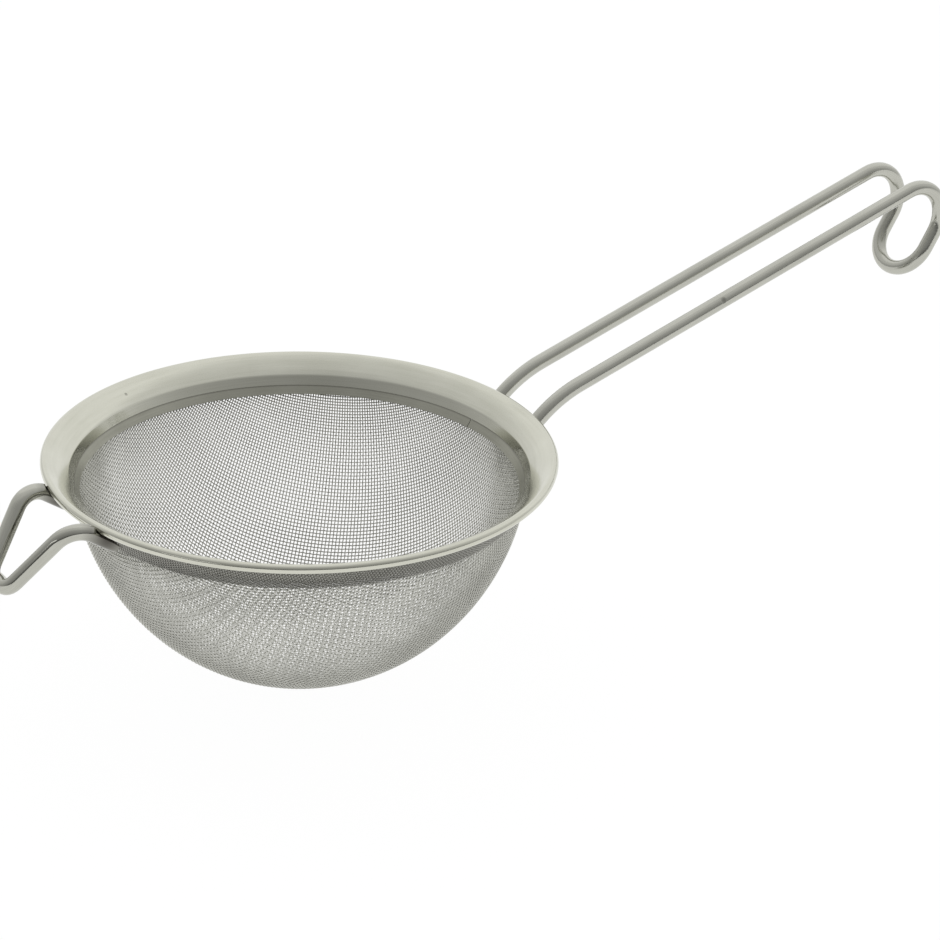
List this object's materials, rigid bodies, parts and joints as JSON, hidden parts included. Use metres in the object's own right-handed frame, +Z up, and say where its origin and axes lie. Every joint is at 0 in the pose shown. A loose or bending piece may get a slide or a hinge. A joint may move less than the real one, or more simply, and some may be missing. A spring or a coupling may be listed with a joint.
{
  "type": "strainer",
  "caption": "Round-bottomed hand strainer: a wire-mesh bowl in a sloping steel rim, with a bent-wire handle that ends in a hanging loop and a front hook for the edge of a pot.",
  "frame": {"origin": "centre of the rim, level with the top of its rolled edge", "axes": "+Z up out of the bowl's mouth, +X along the handle away from the bowl, the front hook on -X"},
  "size_m": [0.355, 0.16, 0.1269],
  "materials": {
    "rim_sheet": "polished sheet steel",
    "collar_strip": "rolled bright strip",
    "wire_cloth": "woven bright wire",
    "bright_wire": "polished drawn wire"
  },
  "bodies": {
    "root": {"rim_flange": "rim_sheet", "clamp_collar": "collar_strip", "mesh_bowl": "wire_cloth", "handle_wire": "bright_wire", "rest_hook": "bright_wire"}
  },
  "joints": []
}
